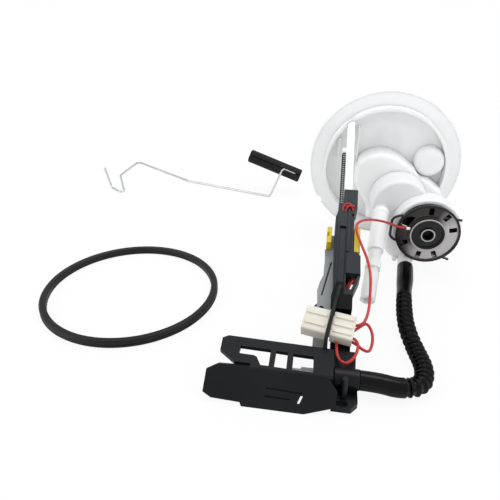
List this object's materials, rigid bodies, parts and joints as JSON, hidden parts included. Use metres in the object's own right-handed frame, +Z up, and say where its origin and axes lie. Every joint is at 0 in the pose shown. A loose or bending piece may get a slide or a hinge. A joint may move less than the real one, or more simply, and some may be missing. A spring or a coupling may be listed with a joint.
{
  "type": "fuel filter with sending unit",
  "caption": "In-tank fuel filter and sending unit: white flange, sprung sliding leg with level sensor, pressure regulator, ribbed hose and foot, with its seal ring and float arm beside it.",
  "frame": {"origin": "centre of the flange's sealing face, on the neck's axis", "axes": "-Y along the neck's axis into the tank, +Z up from the table that the unit lies on, +X to the right seen from the tank side"},
  "size_m": [0.3991, 0.4263, 0.14],
  "materials": {
    "moulded_white": "satin",
    "clear_nylon": "satin",
    "filter_paper": "matte",
    "regulator_zinc": "satin",
    "spring_steel": "polished",
    "nozzle_chrome": "polished",
    "insert_black": "satin",
    "seal_rubber": "matte",
    "wire_red": "gloss",
    "carriage_grey": "satin",
    "sensor_grey": "satin",
    "clip_yellow": "satin",
    "board_green": "satin",
    "track_carbon": "matte",
    "contact_brass": "polished",
    "foot_black": "satin",
    "connector_ivory": "satin",
    "float_black": "matte"
  },
  "bodies": {
    "unit": {"flange_cap": "moulded_white", "neck_ring": "moulded_white", "dome_ring": "moulded_white", "vent_boss": "moulded_white", "fuel_stems": "moulded_white", "terminal_shroud": "moulded_white", "cap_terminals": "contact_brass", "guide_rail": "moulded_white", "spring_rod": "moulded_white", "leg_spring": "spring_steel", "filter_housing": "moulded_white", "filter_element": "filter_paper", "filter_cover": "moulded_white", "elbow_pipe": "moulded_white", "regulator_body": "regulator_zinc", "regulator_seal": "seal_rubber", "regulator_cap": "regulator_zinc", "regulator_ring": "nozzle_chrome", "regulator_insert": "insert_black", "regulator_nozzle": "nozzle_chrome", "retaining_clip": "spring_steel", "wire_lug": "regulator_zinc", "corrugated_hose": "foot_black", "regulator_lead": "wire_red"},
    "leg": {"carriage": "carriage_grey", "lower_leg": "foot_black", "sensor_plate": "sensor_grey", "sensor_clip": "clip_yellow", "sensor_board": "board_green", "resistor_track": "track_carbon", "pivot_pin": "spring_steel", "foot": "foot_black", "jet_nozzle": "clear_nylon", "foot_bracket": "foot_black", "connector_left": "connector_ivory", "connector_right": "connector_ivory", "connector_terminals": "contact_brass", "connector_strap": "foot_black", "loop_wire_a": "wire_red", "loop_wire_b": "wire_red"},
    "wiper": {"wiper_hub": "insert_black", "wiper_contact": "contact_brass"},
    "seal": {"seal_ring": "seal_rubber"},
    "float_arm_set": {"float_arm": "spring_steel", "float": "float_black"}
  },
  "joints": [
    {"name": "leg_slide", "type": "slide", "parent": "unit", "child": "leg", "axis": [0, 0.8934, 0.4493], "range_m": [0, 0.015], "stiffness_N_per_m": 200, "springref_m": -0.02, "deforming": ["leg_spring", "corrugated_hose", "regulator_lead"]},
    {"name": "gauge_turn", "type": "hinge", "parent": "leg", "child": "wiper", "pos_m": [-0.049, -0.17345, -0.05288], "axis": [0, -0.4493, 0.8934], "range_deg": [-25, 25]},
    {"name": "seal_lift", "type": "slide", "parent": "unit", "child": "seal", "axis": [0, 0, 1], "range_m": [0, 0.12]},
    {"name": "float_arm_lift", "type": "slide", "parent": "unit", "child": "float_arm_set", "axis": [0, 0, 1], "range_m": [0, 0.12]}
  ]
}
